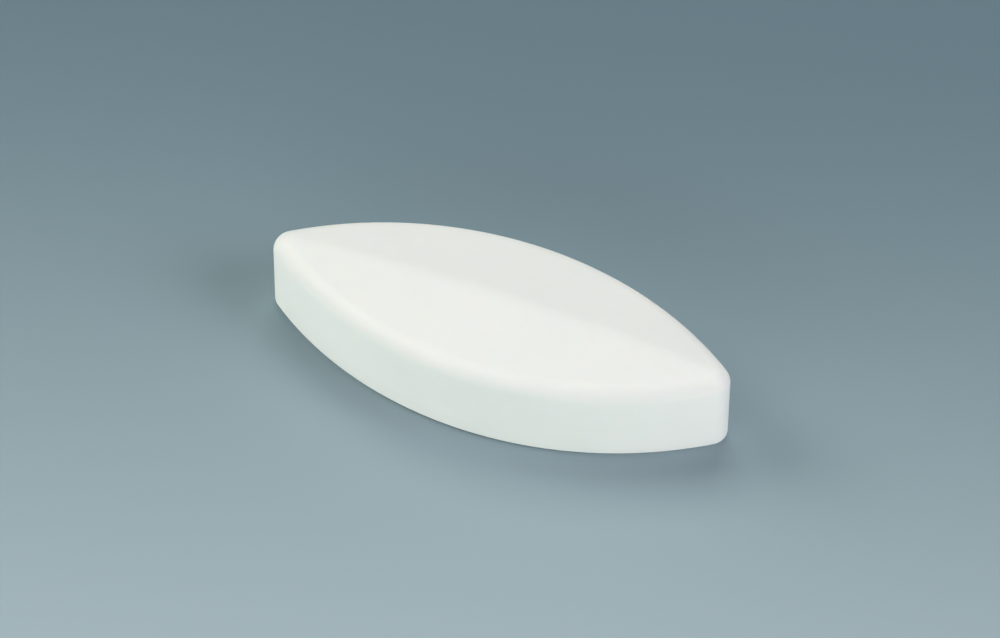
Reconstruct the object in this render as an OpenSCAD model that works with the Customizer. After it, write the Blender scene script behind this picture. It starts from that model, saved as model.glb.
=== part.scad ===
// Magnetic stir bar: a boat-shaped white jacket moulded without a seam round a bar magnet.
//
// Seen from above the bar is a lens: two long arcs joined by two rounded tips. The side wall is
// upright and equally high all round. Above it the roof rises at one slope from every point of
// the wall, so its two long faces meet in a ridge that is lowest at the tips and highest at mid
// length. The skin is lofted over ribs: each rib is the same upright section of the wall, set
// square to the outline, and carried up the roof until it reaches the ridge.
//
// Origin: middle of the flat base. +X runs along the ridge, +Y across it, +Z up. Millimetres.

/* [Jacket] */
// Length over the two tips
bar_length = 50; // [36:0.5:75]
// Width across the middle
bar_width = 19.6; // [14:0.2:26]
// Height of the side wall, up to the sharp edge that the fillet under the roof takes off
wall_height = 9.2; // [7:0.1:14]
// Rise of the roof from that edge to a sharp ridge at mid length
ridge_rise = 1.5; // [0.8:0.1:3.2]
// Radius of the upright edge at each tip
tip_radius = 2; // [1.4:0.1:3]
// Radius between the side wall and the roof, less where the tips are too sharp to carry it
roof_fillet = 1.8; // [0.4:0.1:2.4]
// Radius between the side wall and the base
base_fillet = 0.5; // [0.2:0.05:1]
// Half width of the rounding along the ridge, less where the tips leave it no room
ridge_rounding = 1; // [0.5:0.1:3]

/* [Magnet] */
// Diameter of the bar magnet
magnet_diameter = 6; // [4:0.25:7]
// Jacket left beyond each end of the magnet
end_cover = 7; // [5.5:0.25:10]
// Bevel round each end of the magnet
magnet_bevel = 0.5; // [0.2:0.1:1]
// Gap between the magnet and the jacket, which is moulded onto it
magnet_gap = 0; // [0:0.01:0.2]

/* [Smoothness] */
// Steps along each long side
side_steps = 60; // [24:4:80]
// Steps round each tip
tip_steps = 14; // [6:2:20]
// Steps round the fillet under the roof
roof_fillet_steps = 7; // [3:1:8]
// Steps round the fillet above the base
base_fillet_steps = 4; // [2:1:6]
// Steps up each side of the rounding along the ridge
ridge_steps = 4; // [2:1:5]

/* [Hidden] */
$fn = 96;

// Plan: each side is an arc of side_radius about a point side_offset beyond the middle, and each
// tip is an arc of tip_radius about tip_x. The arcs meet without a corner, in the direction
// tip_angle from both of their centres.
half_width = bar_width / 2;
tip_x = bar_length / 2 - tip_radius;
side_radius = (half_width ^ 2 + tip_x ^ 2 - tip_radius ^ 2) / (2 * (half_width - tip_radius));
side_offset = side_radius - half_width;
tip_angle = atan2(side_offset, tip_x);

// Section: the roof's slope, and where the fillet between wall and roof begins and ends. Its inset
// takes up at most this share of a tip's radius, so that some of the roof reaches into each tip.
tip_share = 0.85;
roof_slope = ridge_rise / half_width;
roof_angle = atan(roof_slope);
roof_fillet_limit = tip_share * tip_radius / (1 - sin(roof_angle));
roof_radius = min(roof_fillet, roof_fillet_limit);
roof_fillet_z = wall_height - roof_radius * tan((90 - roof_angle) / 2);
roof_fillet_inset = roof_radius * (1 - sin(roof_angle));

// Ridge: its rounding takes up at most this share of the roof between the fillet and the ridge
ridge_share = 0.8;

// Magnet: it lies at mid height of the thickest section
magnet_length = bar_length - 2 * end_cover;
magnet_axis_z = (wall_height + ridge_rise) / 2;

function direction(a) = [cos(a), sin(a)];

// Points of an arc in the wall's section, each as [inset from the wall, height]
function section_arc(radius, centre_z, from, to, steps) = [
    for (k = [0 : steps])
        [radius, centre_z] + radius * direction(from + (to - from) * k / steps),
];

// Section of the wall, from the edge of the base up to the edge of the roof
wall_section = concat(
    section_arc(base_fillet, base_fillet, 270, 180, base_fillet_steps),
    section_arc(roof_radius, roof_fillet_z, 180, 90 + roof_angle, roof_fillet_steps)
);

// A rib is [foot of the wall, direction out of the wall, run in to the ridge, squareness], where
// squareness is how far the rib turns towards the ridge, from 1 for straight across it
function side_rib(a, side) = [
    [side_radius * cos(a), side * (side_radius * sin(a) - side_offset)],
    [cos(a), side * sin(a)],
    side_radius - side_offset / sin(a),
    sin(a),
];
function tip_rib(a, end) = [
    [end * (tip_x + tip_radius * cos(a)), tip_radius * sin(a)],
    [end * cos(a), sin(a)],
    tip_radius,
    sin(tip_angle),
];

// Ribs anticlockwise round the bar, from where the +Y side meets the tip at +X
side_angles = [for (k = [0 : side_steps]) tip_angle + k * (180 - 2 * tip_angle) / side_steps];
tip_angles = [for (k = [1 : tip_steps - 1]) tip_angle * (1 - 2 * k / tip_steps)];
ribs = concat(
    [for (a = side_angles) side_rib(a, 1)],
    [for (a = tip_angles) tip_rib(a, -1)],
    [for (a = side_angles) side_rib(180 - a, -1)],
    [for (a = tip_angles) tip_rib(-a, 1)]
);
rib_count = len(ribs);

// How far from the ridge its rounding begins on a rib: it passes smoothly from ridge_rounding to
// the room that is left for it
function rounding_reach(rib) =
    let (room = ridge_share * (rib[2] - roof_fillet_inset))
    ridge_rounding * room / (ridge_rounding ^ 3 + room ^ 3) ^ (1 / 3);

// Height of the roof on a rib, at a distance left to the ridge
function roof_height(rib, left) =
    let (reach = rounding_reach(rib), into = max(reach - left, 0))
    wall_height + roof_slope * (rib[2] - left - (rib[3] * into) ^ 2 / (2 * reach));

// Point on a rib at an inset from the wall
function rib_point(rib, inset, z) = concat(rib[0] - inset * rib[1], z);

// Points up one rib, from the base to the last step before the ridge
function rib_points(rib) = concat(
    [for (p = wall_section) rib_point(rib, p[0], p[1])],
    [
        for (step = [ridge_steps : -1 : 1])
            let (left = rounding_reach(rib) * step / ridge_steps)
            rib_point(rib, rib[2] - left, roof_height(rib, left)),
    ]
);
row_count = len(wall_section) + ridge_steps;

// Points along the ridge, one for each rib of a long side
ridge_points = [
    for (a = side_angles)
        [side_offset / tan(a), 0, roof_height(side_rib(a, 1), 0)],
];

// Number of the ridge point in which rib i ends: both sides share them, and a tip has one
function ridge_number(i) =
    let (mirrored = 2 * side_steps + tip_steps - i)
    i <= side_steps ? i : max(min(mirrored, side_steps), 0);

// Number of the point on rib i in row j, where the row after the last is the ridge
function point_number(i, j) =
    let (rib = i % rib_count)
    j < row_count ? rib * row_count + j : rib_count * row_count + ridge_number(rib);

function has_area(t) = t[0] != t[1] && t[1] != t[2] && t[2] != t[0];

skin_points = concat([for (rib = ribs) each rib_points(rib)], ridge_points);
base_face = [for (i = [0 : rib_count - 1]) point_number(i, 0)];
skin_faces = [
    for (i = [0 : rib_count - 1], j = [0 : row_count - 1])
        let (a = point_number(i, j), b = point_number(i, j + 1))
        let (c = point_number(i + 1, j + 1), d = point_number(i + 1, j))
        for (t = [[a, b, c], [a, c, d]])
            if (has_area(t)) t,
];

// Bar along X with bevelled ends, each of its surfaces moved out by gap
module magnet_form(gap) {
    radius = magnet_diameter / 2 + gap;
    half_length = magnet_length / 2 + gap;
    bevel = magnet_bevel + gap * (2 - sqrt(2));
    translate([0, 0, magnet_axis_z])
        rotate([0, 90, 0])
            rotate_extrude()
                polygon([
                    [0, -half_length],
                    [radius - bevel, -half_length],
                    [radius, -half_length + bevel],
                    [radius, half_length - bevel],
                    [radius - bevel, half_length],
                    [0, half_length],
                ]);
}

module jacket() {
    color("whitesmoke")
        difference() {
            polyhedron(points = skin_points, faces = concat([base_face], skin_faces));
            magnet_form(magnet_gap);
        }
}

module magnet_core() {
    color("dimgray")
        magnet_form(0);
}

jacket();
magnet_core();
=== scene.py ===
"""Looks of a magnetic stir bar, made round its packed construction model.

A white jacket is moulded without a seam round a straight bar magnet. The construction model
gives the size and place of both. This script renews the jacket's skin as a fine smooth mesh,
gives each piece its finish, and sets up the studio: a floor with painted shade towards the back,
soft lamps and a camera.

Lengths are in metres and angles in degrees. +X runs along the ridge, +Y across it, +Z up.
"""

import logging
import math
from dataclasses import dataclass, field
from enum import Enum

import bmesh
import bpy
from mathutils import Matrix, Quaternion, Vector, noise


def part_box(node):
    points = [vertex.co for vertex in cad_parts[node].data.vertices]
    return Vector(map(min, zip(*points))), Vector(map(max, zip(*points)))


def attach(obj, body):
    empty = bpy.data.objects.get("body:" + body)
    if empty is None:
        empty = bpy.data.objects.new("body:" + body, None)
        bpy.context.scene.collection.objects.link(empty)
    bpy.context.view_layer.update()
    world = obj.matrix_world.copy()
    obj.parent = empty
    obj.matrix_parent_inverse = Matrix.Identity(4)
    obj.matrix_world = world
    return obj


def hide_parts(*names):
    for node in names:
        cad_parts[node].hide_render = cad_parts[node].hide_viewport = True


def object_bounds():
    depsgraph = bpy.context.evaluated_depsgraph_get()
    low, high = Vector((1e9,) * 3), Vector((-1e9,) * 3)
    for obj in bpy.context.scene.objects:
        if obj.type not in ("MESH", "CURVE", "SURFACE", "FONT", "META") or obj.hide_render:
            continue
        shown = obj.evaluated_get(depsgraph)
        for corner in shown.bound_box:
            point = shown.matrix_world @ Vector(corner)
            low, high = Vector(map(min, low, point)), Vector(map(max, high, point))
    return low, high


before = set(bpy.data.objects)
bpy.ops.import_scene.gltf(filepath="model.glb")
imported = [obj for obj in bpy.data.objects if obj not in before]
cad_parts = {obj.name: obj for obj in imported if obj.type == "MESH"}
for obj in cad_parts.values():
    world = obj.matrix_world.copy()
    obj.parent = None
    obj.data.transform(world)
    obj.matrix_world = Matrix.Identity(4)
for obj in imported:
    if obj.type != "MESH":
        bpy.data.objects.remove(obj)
CAD_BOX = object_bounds()

LOG = logging.getLogger("stir_bar")
MM = 0.001
QUARTER_TURN = math.pi / 2

# Range that nearly all of a cloudy pattern lies in
CLOUD_LOW = 0.3
CLOUD_HIGH = 0.7

Colour = tuple[float, float, float]


class Node(Enum):
    """Pieces of the construction model."""

    JACKET = "jacket"
    MAGNET = "magnet_core"


class Slot(Enum):
    """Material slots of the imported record."""

    JACKET = "jacket"
    MAGNET = "magnet"


class Shading:
    """The node tree of one material, filled node by node.

    Its shader is surface, and place is the point on the object that a pattern is taken at.
    """

    def __init__(self, name: str) -> None:
        """Starts an empty material.

        Args:
            name: Name of the material.
        """
        self.material = bpy.data.materials.new(name)
        self.material.use_nodes = True
        self.tree = self.material.node_tree
        self.tree.nodes.clear()
        output = self.add("ShaderNodeOutputMaterial")
        self.surface = self.add("ShaderNodeBsdfPrincipled")
        self.join(self.surface.outputs["BSDF"], output.inputs["Surface"])
        self.place = self.add("ShaderNodeTexCoord").outputs["Object"]

    def add(self, kind: str) -> bpy.types.Node:
        """Adds a node of the named kind and gives it back."""
        return self.tree.nodes.new(kind)

    def join(self, source: bpy.types.NodeSocket, target: bpy.types.NodeSocket) -> None:
        """Links one socket to another."""
        self.tree.links.new(source, target)

    def set(self, **values: object) -> None:
        """Sets constants on the shader's own sockets, which are named with _ for a space."""
        for name, value in values.items():
            self.surface.inputs[name.replace("_", " ")].default_value = value

    def cloud(self, grain: float, layers: float) -> bpy.types.NodeSocket:
        """Adds a soft cloudy pattern.

        Args:
            grain: Size of its patches.
            layers: Number of finer layers in it.

        Returns:
            The pattern, mostly between CLOUD_LOW and CLOUD_HIGH.
        """
        node = self.add("ShaderNodeTexNoise")
        node.inputs["Scale"].default_value = 1 / grain
        node.inputs["Detail"].default_value = layers
        self.join(self.place, node.inputs["Vector"])
        return node.outputs["Fac"]

    def between(
        self, pattern: bpy.types.NodeSocket, low: float = 0.0, high: float = 1.0
    ) -> bpy.types.NodeSocket:
        """Spreads a cloudy pattern over a range of numbers.

        Args:
            pattern: The pattern to spread.
            low: Value where the pattern is dark.
            high: Value where the pattern is light.

        Returns:
            The spread pattern.
        """
        node = self.add("ShaderNodeMapRange")
        node.inputs["From Min"].default_value = CLOUD_LOW
        node.inputs["From Max"].default_value = CLOUD_HIGH
        node.inputs["To Min"].default_value = low
        node.inputs["To Max"].default_value = high
        self.join(pattern, node.inputs["Value"])
        return node.outputs["Result"]

    def blend(
        self, pattern: bpy.types.NodeSocket, first: Colour, second: Colour
    ) -> bpy.types.NodeSocket:
        """Blends two colours by a pattern.

        Args:
            pattern: Share of the second colour.
            first: Colour where the pattern is 0.
            second: Colour where the pattern is 1.

        Returns:
            The blended colour.
        """
        node = self.add("ShaderNodeMix")
        node.data_type = "RGBA"
        node.inputs["A"].default_value = (*first, 1)
        node.inputs["B"].default_value = (*second, 1)
        self.join(pattern, node.inputs["Factor"])
        return node.outputs["Result"]

    def emboss(self, layers: list[tuple[bpy.types.NodeSocket, float]]) -> None:
        """Gives the surface a relief of one or more layers.

        Args:
            layers: Pairs of a pattern and the height that it stands for.
        """
        normal = None
        for pattern, height in layers:
            node = self.add("ShaderNodeBump")
            node.inputs["Distance"].default_value = height
            self.join(pattern, node.inputs["Height"])
            if normal is not None:
                self.join(normal, node.inputs["Normal"])
            normal = node.outputs["Normal"]
        self.join(normal, self.surface.inputs["Normal"])


@dataclass(frozen=True)
class WaxyPolymer:
    """Finish of a moulded white polymer: waxy, and slightly clear just under the surface."""

    name: str = "waxy_white_polymer"
    colour: Colour = (0.9, 0.9, 0.88)
    shade: Colour = (0.87, 0.88, 0.86)
    patch_grain: float = 9 * MM
    patch_layers: float = 2
    roughness: tuple[float, float] = (0.56, 0.66)
    roughness_grain: float = 1.5 * MM
    roughness_layers: float = 4
    refractive_index: float = 1.36
    clearness: float = 0.5 * MM
    clearness_by_colour: Colour = (1.0, 0.9, 0.82)
    swell_height: float = 0.010 * MM
    swell_grain: float = 1.8 * MM
    swell_layers: float = 1
    grain_height: float = 0.0012 * MM
    grain_size: float = 0.14 * MM
    grain_layers: float = 3

    def make(self) -> bpy.types.Material:
        """Builds the material.

        Returns:
            The material, with faint patches of tint and gloss, a soft swell and a fine grain.
        """
        shading = Shading(self.name)
        patches = shading.between(shading.cloud(self.patch_grain, self.patch_layers))
        tint = shading.blend(patches, self.colour, self.shade)
        shading.join(tint, shading.surface.inputs["Base Color"])
        gloss = shading.cloud(self.roughness_grain, self.roughness_layers)
        shading.join(shading.between(gloss, *self.roughness), shading.surface.inputs["Roughness"])
        shading.set(
            IOR=self.refractive_index,
            Subsurface_Weight=1.0,
            Subsurface_Scale=self.clearness,
            Subsurface_Radius=self.clearness_by_colour,
        )
        swell = shading.cloud(self.swell_grain, self.swell_layers)
        grain = shading.cloud(self.grain_size, self.grain_layers)
        shading.emboss([(swell, self.swell_height), (grain, self.grain_height)])
        return shading.material


@dataclass(frozen=True)
class CastAlloy:
    """Finish of a bar of cast magnet alloy, left as it came from the grinding."""

    name: str = "cast_magnet_alloy"
    colour: Colour = (0.30, 0.30, 0.31)
    shade: Colour = (0.235, 0.23, 0.225)
    patch_grain: float = 1.6 * MM
    patch_layers: float = 5
    roughness: tuple[float, float] = (0.42, 0.68)
    roughness_grain: float = 0.7 * MM
    roughness_layers: float = 4
    pit_depth: float = 0.02 * MM
    pit_grain: float = 0.35 * MM
    pit_layers: float = 4

    def make(self) -> bpy.types.Material:
        """Builds the material.

        Returns:
            The material: dull metal, uneven in tint and gloss, with small pits.
        """
        shading = Shading(self.name)
        patches = shading.between(shading.cloud(self.patch_grain, self.patch_layers))
        tint = shading.blend(patches, self.colour, self.shade)
        shading.join(tint, shading.surface.inputs["Base Color"])
        gloss = shading.cloud(self.roughness_grain, self.roughness_layers)
        shading.join(shading.between(gloss, *self.roughness), shading.surface.inputs["Roughness"])
        shading.set(Metallic=1.0)
        shading.emboss([(shading.cloud(self.pit_grain, self.pit_layers), self.pit_depth)])
        return shading.material


@dataclass(frozen=True)
class PaperWithPaintedShade:
    """Finish of the studio floor: paper with painted shade that darkens it smoothly from front to
    back, as light falling off would.

    It lights the bar as plain paper of one even colour would.
    """

    name: str = "paper_with_painted_shade"
    # Colour that lights the bar, and the two colours that are seen, graded from front to back as
    # painted shade
    bounce: Colour = (0.42, 0.56, 0.56)
    front: Colour = (0.438, 0.546, 0.592)
    back: Colour = (0.12, 0.192, 0.24)
    # Direction of the front, and how far the painted shade's grading reaches from the middle of
    # the base
    front_azimuth: float = 16.0
    front_end: float = 80 * MM
    back_end: float = 60.7 * MM
    roughness: float = 0.7
    # Kinds of ray that see the two colours
    seen_by: tuple[str, ...] = ("Is Camera Ray", "Is Glossy Ray", "Is Transmission Ray")

    def seen(self, shading: Shading) -> bpy.types.NodeSocket:
        """Tells the rays that see the paper from those that only light the bar.

        Args:
            shading: Node tree of the paper.

        Returns:
            1 for a ray of any kind in seen_by, and 0 for another.
        """
        path = shading.add("ShaderNodeLightPath")
        first, *others = self.seen_by
        seen = path.outputs[first]
        for ray in others:
            either = shading.add("ShaderNodeMath")
            either.operation = "MAXIMUM"
            shading.join(seen, either.inputs[0])
            shading.join(path.outputs[ray], either.inputs[1])
            seen = either.outputs["Value"]
        return seen

    def make(self) -> bpy.types.Material:
        """Builds the material.

        Returns:
            The material, with painted shade that darkens it along the direction of the front
            towards the back.
        """
        shading = Shading(self.name)
        along = shading.add("ShaderNodeVectorMath")
        along.operation = "DOT_PRODUCT"
        along.inputs[1].default_value = direction(self.front_azimuth, 0)
        shading.join(shading.place, along.inputs[0])
        # Painted shade: the colour that is seen darkens smoothly from the front towards the back
        depth = shading.add("ShaderNodeMapRange")
        depth.interpolation_type = "SMOOTHSTEP"
        depth.inputs["From Min"].default_value = self.front_end
        depth.inputs["From Max"].default_value = -self.back_end
        shading.join(along.outputs["Value"], depth.inputs["Value"])
        painted_shade_colour = shading.blend(depth.outputs["Result"], self.front, self.back)
        choice = shading.add("ShaderNodeMix")
        choice.data_type = "RGBA"
        choice.inputs["A"].default_value = (*self.bounce, 1)
        shading.join(painted_shade_colour, choice.inputs["B"])
        shading.join(self.seen(shading), choice.inputs["Factor"])
        shading.join(choice.outputs["Result"], shading.surface.inputs["Base Color"])
        shading.set(Roughness=self.roughness)
        return shading.material


@dataclass(frozen=True)
class Rib:
    """One upright section of the jacket, square to its outline.

    It has its foot on the outline, a level direction outward, a level run in to the ridge, and
    its squareness to the ridge, from 1 for straight across it.
    """

    foot: tuple[float, float]
    outward: tuple[float, float]
    run: float
    squareness: float

    def point(self, inset: float, height: float) -> Vector:
        """Gives a point on the rib.

        Args:
            inset: Level distance in from the wall.
            height: Height above the base.

        Returns:
            The point.
        """
        x = self.foot[0] - inset * self.outward[0]
        y = self.foot[1] - inset * self.outward[1]
        return Vector((x, y, height))


@dataclass
class Jacket:
    """The moulded skin: a lens in plan, with an upright wall and a low ridged roof.

    Seen from above, two long arcs meet two rounded tips. The wall is equally high all round.
    The roof rises at one slope from every point of it, so its two long faces meet in a ridge.
    """

    wall_height: float = 9.2 * MM
    tip_radius: float = 2.0 * MM
    roof_fillet: float = 1.8 * MM
    base_fillet: float = 0.5 * MM
    ridge_rounding: float = 1.0 * MM
    # Share of a rib's roof that the rounding of the ridge takes up at most
    ridge_share: float = 0.8
    # Greatest depth and length of the waves of the moulding, and the start of their pattern
    waviness: float = 0.02 * MM
    wave_length: float = 11 * MM
    wave_start: tuple[float, float, float] = (3.1, 5.7, 1.3)
    # The waves draw a point in towards these shares of its x and of the bar's height
    drawn_to: tuple[float, float] = (0.8, 0.3)
    # Points closer together than this become one
    weld: float = 0.0002 * MM
    side_steps: int = 220
    tip_steps: int = 28
    base_steps: int = 6
    base_fillet_steps: int = 6
    wall_steps: int = 8
    roof_fillet_steps: int = 20
    roof_steps: int = 12
    ridge_steps: int = 8
    finish: WaxyPolymer = field(default_factory=WaxyPolymer)

    def __post_init__(self) -> None:
        """Works out the outline and the roof from the construction model's box."""
        low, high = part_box(Node.JACKET.value)
        self.half_length = (high.x - low.x) / 2
        self.half_width = (high.y - low.y) / 2
        self.height = high.z - low.z
        self.tip_x = self.half_length - self.tip_radius
        spare = self.half_width - self.tip_radius
        self.side_radius = (self.half_width**2 + self.tip_x**2 - self.tip_radius**2) / (2 * spare)
        self.side_offset = self.side_radius - self.half_width
        self.tip_angle = math.atan2(self.side_offset, self.tip_x)
        # The rounding lowers the ridge by the rise of half its reach
        rise = self.height - self.wall_height
        self.roof_slope = rise / (self.half_width - self.ridge_rounding / 2)
        self.roof_angle = math.atan(self.roof_slope)
        fillet_rise = self.roof_fillet * math.tan((QUARTER_TURN - self.roof_angle) / 2)
        self.fillet_z = self.wall_height - fillet_rise
        self.fillet_inset = self.roof_fillet * (1 - math.sin(self.roof_angle))

    def side_rib(self, angle: float, side: int) -> Rib:
        """Makes a rib of a long side.

        Args:
            angle: Direction from the middle of the side's arc, in radians.
            side: 1 for the +Y side, -1 for the -Y side.

        Returns:
            The rib.
        """
        across, along = math.sin(angle), math.cos(angle)
        foot = (self.side_radius * along, side * (self.side_radius * across - self.side_offset))
        run = self.side_radius - self.side_offset / across
        return Rib(foot, (along, side * across), run, across)

    def tip_rib(self, angle: float, end: int) -> Rib:
        """Makes a rib of a tip.

        Args:
            angle: Direction from the middle of the tip's arc, in radians.
            end: 1 for the tip at +X, -1 for the one at -X.

        Returns:
            The rib.
        """
        along, across = math.cos(angle), math.sin(angle)
        foot = (end * (self.tip_x + self.tip_radius * along), self.tip_radius * across)
        return Rib(foot, (end * along, across), self.tip_radius, math.sin(self.tip_angle))

    def ribs(self) -> list[Rib]:
        """Gives all ribs.

        Returns:
            The ribs, anticlockwise from where the +Y side meets the tip at +X.
        """
        turn = math.pi - 2 * self.tip_angle
        sides = [self.tip_angle + turn * k / self.side_steps for k in range(self.side_steps + 1)]
        tips = [self.tip_angle * (1 - 2 * k / self.tip_steps) for k in range(1, self.tip_steps)]
        return [
            *(self.side_rib(angle, 1) for angle in sides),
            *(self.tip_rib(angle, -1) for angle in tips),
            *(self.side_rib(math.pi - angle, -1) for angle in sides),
            *(self.tip_rib(-angle, 1) for angle in tips),
        ]

    def wall_section(self) -> list[tuple[float, float]]:
        """Gives the wall's section, from the base up to the roof.

        Returns:
            Pairs of inset from the wall and height above the base.
        """
        points = []
        radius = self.base_fillet
        for k in range(self.base_fillet_steps + 1):
            turn = QUARTER_TURN * k / self.base_fillet_steps
            points.append((radius * (1 - math.sin(turn)), radius * (1 - math.cos(turn))))
        upright = self.fillet_z - self.base_fillet
        for k in range(1, self.wall_steps):
            share = k / self.wall_steps
            points.append((0.0, self.base_fillet + upright * share))
        radius = self.roof_fillet
        for k in range(self.roof_fillet_steps + 1):
            turn = (QUARTER_TURN - self.roof_angle) * k / self.roof_fillet_steps
            inset = radius * (1 - math.cos(turn))
            points.append((inset, self.fillet_z + radius * math.sin(turn)))
        return points

    def rounding_reach(self, rib: Rib) -> float:
        """Gives how far from the ridge its rounding begins on a rib."""
        room = self.ridge_share * (rib.run - self.fillet_inset)
        return self.ridge_rounding * room / (self.ridge_rounding**3 + room**3) ** (1 / 3)

    def roof_height(self, rib: Rib, left: float) -> float:
        """Gives the roof's height on a rib.

        Args:
            rib: The rib.
            left: Distance that is left to the ridge.

        Returns:
            Height above the base.
        """
        reach = self.rounding_reach(rib)
        into = rib.squareness * max(reach - left, 0.0)
        return self.wall_height + self.roof_slope * (rib.run - left - into**2 / (2 * reach))

    def roof_lefts(self, rib: Rib) -> list[float]:
        """Gives where a rib has its roof points.

        Args:
            rib: The rib.

        Returns:
            Their distances left to the ridge, down to 0.
        """
        reach = self.rounding_reach(rib)
        flat = rib.run - self.fillet_inset - reach
        lefts = [reach + flat * (1 - k / self.roof_steps) for k in range(1, self.roof_steps)]
        return lefts + [reach * (1 - k / self.ridge_steps) for k in range(self.ridge_steps + 1)]

    def rib_points(self, rib: Rib) -> list[Vector]:
        """Gives the points of one rib.

        Args:
            rib: The rib.

        Returns:
            The points, from the middle of the base out to the wall and up to the ridge.
        """
        inner = rib.run - self.base_fillet
        base = [rib.run - inner * k / self.base_steps for k in range(self.base_steps)]
        points = [rib.point(inset, 0.0) for inset in base]
        points += [rib.point(inset, height) for inset, height in self.wall_section()]
        for left in self.roof_lefts(rib):
            points.append(rib.point(rib.run - left, self.roof_height(rib, left)))
        return points

    def draw_in(self, point: Vector) -> Vector:
        """Draws a point in by the slight waviness of a moulding, and leaves the base flat.

        Args:
            point: Point of the true form.

        Returns:
            The point as it is moulded.
        """
        wave = (1 + noise.noise(point / self.wave_length + Vector(self.wave_start))) / 2
        depth = self.waviness * wave * min(point.z / self.wall_height, 1.0)
        along, up = self.drawn_to
        middle = Vector((point.x * along, 0.0, self.height * up))
        return point + (middle - point).normalized() * depth

    def skin(self) -> bpy.types.Object:
        """Builds the outer skin as one closed mesh, lofted over the ribs.

        Returns:
            The skin, without a finish.
        """
        mesh = bmesh.new()
        rows = [[self.draw_in(p) for p in self.rib_points(rib)] for rib in self.ribs()]
        columns = [[mesh.verts.new(point) for point in row] for row in rows]
        for here, there in zip(columns, columns[1:] + columns[:1]):
            for j in range(len(here) - 1):
                mesh.faces.new((here[j], there[j], there[j + 1], here[j + 1]))
        bmesh.ops.remove_doubles(mesh, verts=mesh.verts, dist=self.weld)
        bmesh.ops.recalc_face_normals(mesh, faces=mesh.faces)
        for face in mesh.faces:
            face.smooth = True
        data = bpy.data.meshes.new("jacket_skin")
        mesh.to_mesh(data)
        mesh.free()
        return new_object("jacket_skin", data)

    def build(self) -> bpy.types.Object:
        """Builds and dresses the jacket, which stands for its construction node.

        Returns:
            The jacket's skin.
        """
        skin = self.skin()
        dress(skin, self.finish.make())
        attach(skin, "root")
        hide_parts(Node.JACKET.value)
        return skin


@dataclass
class BarMagnet:
    """The bar magnet inside the jacket, whose shape stays that of the construction model."""

    finish: CastAlloy = field(default_factory=CastAlloy)

    def build(self) -> bpy.types.Object:
        """Dresses the magnet.

        Returns:
            The magnet's own object in the frame.
        """
        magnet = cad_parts[Node.MAGNET.value]
        dress(magnet, self.finish.make())
        return magnet


@dataclass(frozen=True)
class SoftPanel:
    """A large rectangular lamp that faces the bar.

    Its azimuth and elevation are those of the function direction, and its power is in watts.
    """

    name: str
    azimuth: float
    elevation: float
    width: float
    height: float
    power: float
    colour: Colour
    distance: float = 1.5

    def build(self, target: Vector) -> None:
        """Hangs the panel.

        Args:
            target: Point that the panel faces.
        """
        light = bpy.data.lights.new(self.name, "AREA")
        light.shape = "RECTANGLE"
        light.size = self.width
        light.size_y = self.height
        light.energy = self.power
        light.color = self.colour
        lamp = new_object(self.name, light)
        away = direction(self.azimuth, self.elevation)
        lamp.location = target + away * self.distance
        lamp.rotation_mode = "QUATERNION"
        lamp.rotation_quaternion = away.to_track_quat("Z", "Y")


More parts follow.
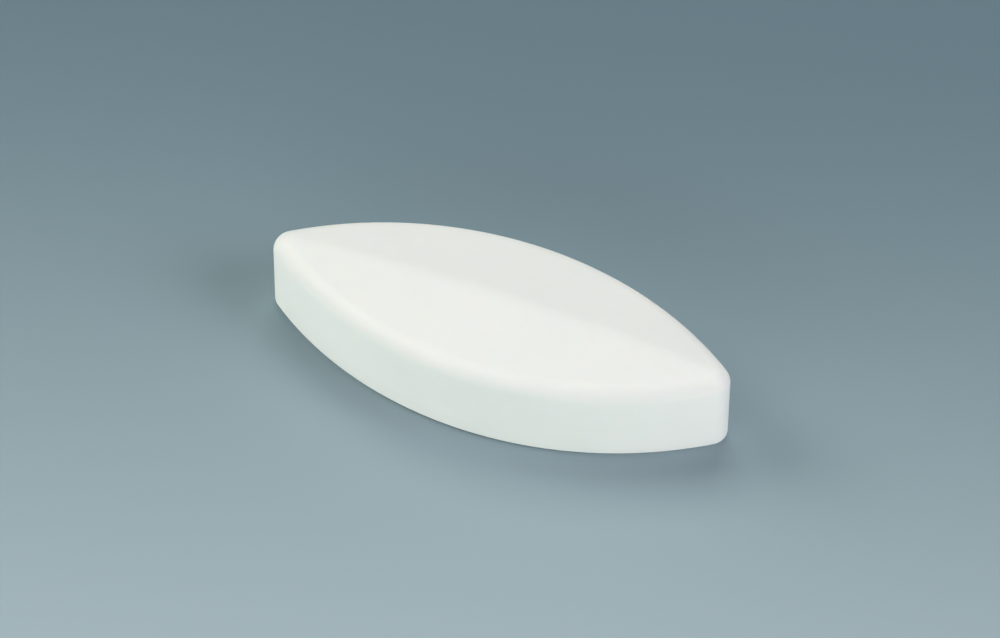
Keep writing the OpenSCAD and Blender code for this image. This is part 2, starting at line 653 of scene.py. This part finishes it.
@dataclass
class Studio:
    """A floor with painted shade towards the back, soft lamps, an even glow from all round, and
    the camera.

    The camera's lens is in millimetres.
    """

    floor_half: float = 4.0
    floor_cells: int = 8
    paper: PaperWithPaintedShade = field(default_factory=PaperWithPaintedShade)
    glow: Colour = (1.0, 1.0, 1.0)
    glow_strength: float = 0.1
    panels: tuple[SoftPanel, ...] = (
        SoftPanel(
            name="back_panel",
            azimuth=-157,
            elevation=56,
            width=0.8,
            height=0.8,
            power=8.2,
            colour=(0.90, 1.0, 0.91),
        ),
        SoftPanel(
            name="left_panel",
            azimuth=-90,
            elevation=35,
            width=0.75,
            height=0.75,
            power=9.1,
            colour=(1.0, 0.985, 0.92),
        ),
        SoftPanel(
            name="right_panel",
            azimuth=90,
            elevation=35,
            width=0.75,
            height=0.75,
            power=10.3,
            colour=(0.963, 0.905, 1.0),
        ),
        SoftPanel(
            name="front_panel",
            azimuth=0,
            elevation=14,
            width=2.6,
            height=0.6,
            power=15.6,
            colour=(0.985, 1.0, 0.95),
        ),
    )
    camera_azimuth: float = 22.55
    camera_elevation: float = 48.28
    camera_distance: float = 0.537
    camera_roll: float = 0.51
    camera_lens: float = 188.5
    # The camera aims this far to the right and above the middle of the base, as it sees them
    aim_aside: float = 0.07 * MM
    aim_above: float = 4.73 * MM

    def build_floor(self) -> None:
        """Lays the floor under the bar."""
        mesh = bmesh.new()
        cells = self.floor_cells
        bmesh.ops.create_grid(mesh, x_segments=cells, y_segments=cells, size=self.floor_half)
        data = bpy.data.meshes.new("floor")
        mesh.to_mesh(data)
        mesh.free()
        floor = new_object("floor", data)
        dress(floor, self.paper.make())

    def build_glow(self) -> None:
        """Fills the surroundings with an even glow."""
        world = bpy.data.worlds.new("studio")
        world.use_nodes = True
        background = world.node_tree.nodes["Background"]
        background.inputs["Color"].default_value = (*self.glow, 1)
        background.inputs["Strength"].default_value = self.glow_strength
        bpy.context.scene.world = world

    def build_camera(self) -> None:
        """Sets up the camera."""
        data = bpy.data.cameras.new("camera")
        data.lens = self.camera_lens
        camera = new_object("camera", data)
        away = direction(self.camera_azimuth, self.camera_elevation)
        turn = away.to_track_quat("Z", "Y")
        aside, above = turn @ Vector((1, 0, 0)), turn @ Vector((0, 1, 0))
        aim = aside * self.aim_aside + above * self.aim_above
        camera.location = away * self.camera_distance
        roll = Quaternion((0, 0, 1), math.radians(self.camera_roll))
        camera.rotation_mode = "QUATERNION"
        camera.rotation_quaternion = (camera.location - aim).to_track_quat("Z", "Y") @ roll
        bpy.context.scene.camera = camera

    def build(self) -> None:
        """Builds the whole studio."""
        bpy.context.scene.view_settings.view_transform = "Standard"
        self.build_floor()
        self.build_glow()
        target = (CAD_BOX[0] + CAD_BOX[1]) / 2
        for panel in self.panels:
            panel.build(target)
        self.build_camera()


def direction(azimuth: float, elevation: float) -> Vector:
    """Gives the direction of a place round the bar.

    Args:
        azimuth: 0 for the front, which is -Y, and 90 for +X.
        elevation: Angle above the floor.

    Returns:
        A vector of length 1, from the bar to that place.
    """
    turn, rise = math.radians(azimuth), math.radians(elevation)
    level = math.cos(rise)
    return Vector((math.sin(turn) * level, -math.cos(turn) * level, math.sin(rise)))


def new_object(name: str, data: bpy.types.ID) -> bpy.types.Object:
    """Adds an object to the scene.

    Args:
        name: Name of the object.
        data: Its mesh, lamp or camera.

    Returns:
        The object.
    """
    made = bpy.data.objects.new(name, data)
    bpy.context.scene.collection.objects.link(made)
    return made


def dress(piece: bpy.types.Object, material: bpy.types.Material) -> None:
    """Gives a piece one material in place of what it had."""
    piece.data.materials.clear()
    piece.data.materials.append(material)


def report(piece: bpy.types.Object) -> None:
    """Logs a piece with its number of faces."""
    LOG.info("%s: %d faces", piece.name, len(piece.data.polygons))


def main() -> None:
    """Builds the bar and the studio, and reports each piece."""
    logging.basicConfig(level=logging.INFO, format="%(name)s: %(message)s")
    report(BarMagnet().build())
    report(Jacket().build())
    Studio().build()


if __name__ == "__main__":
    main()
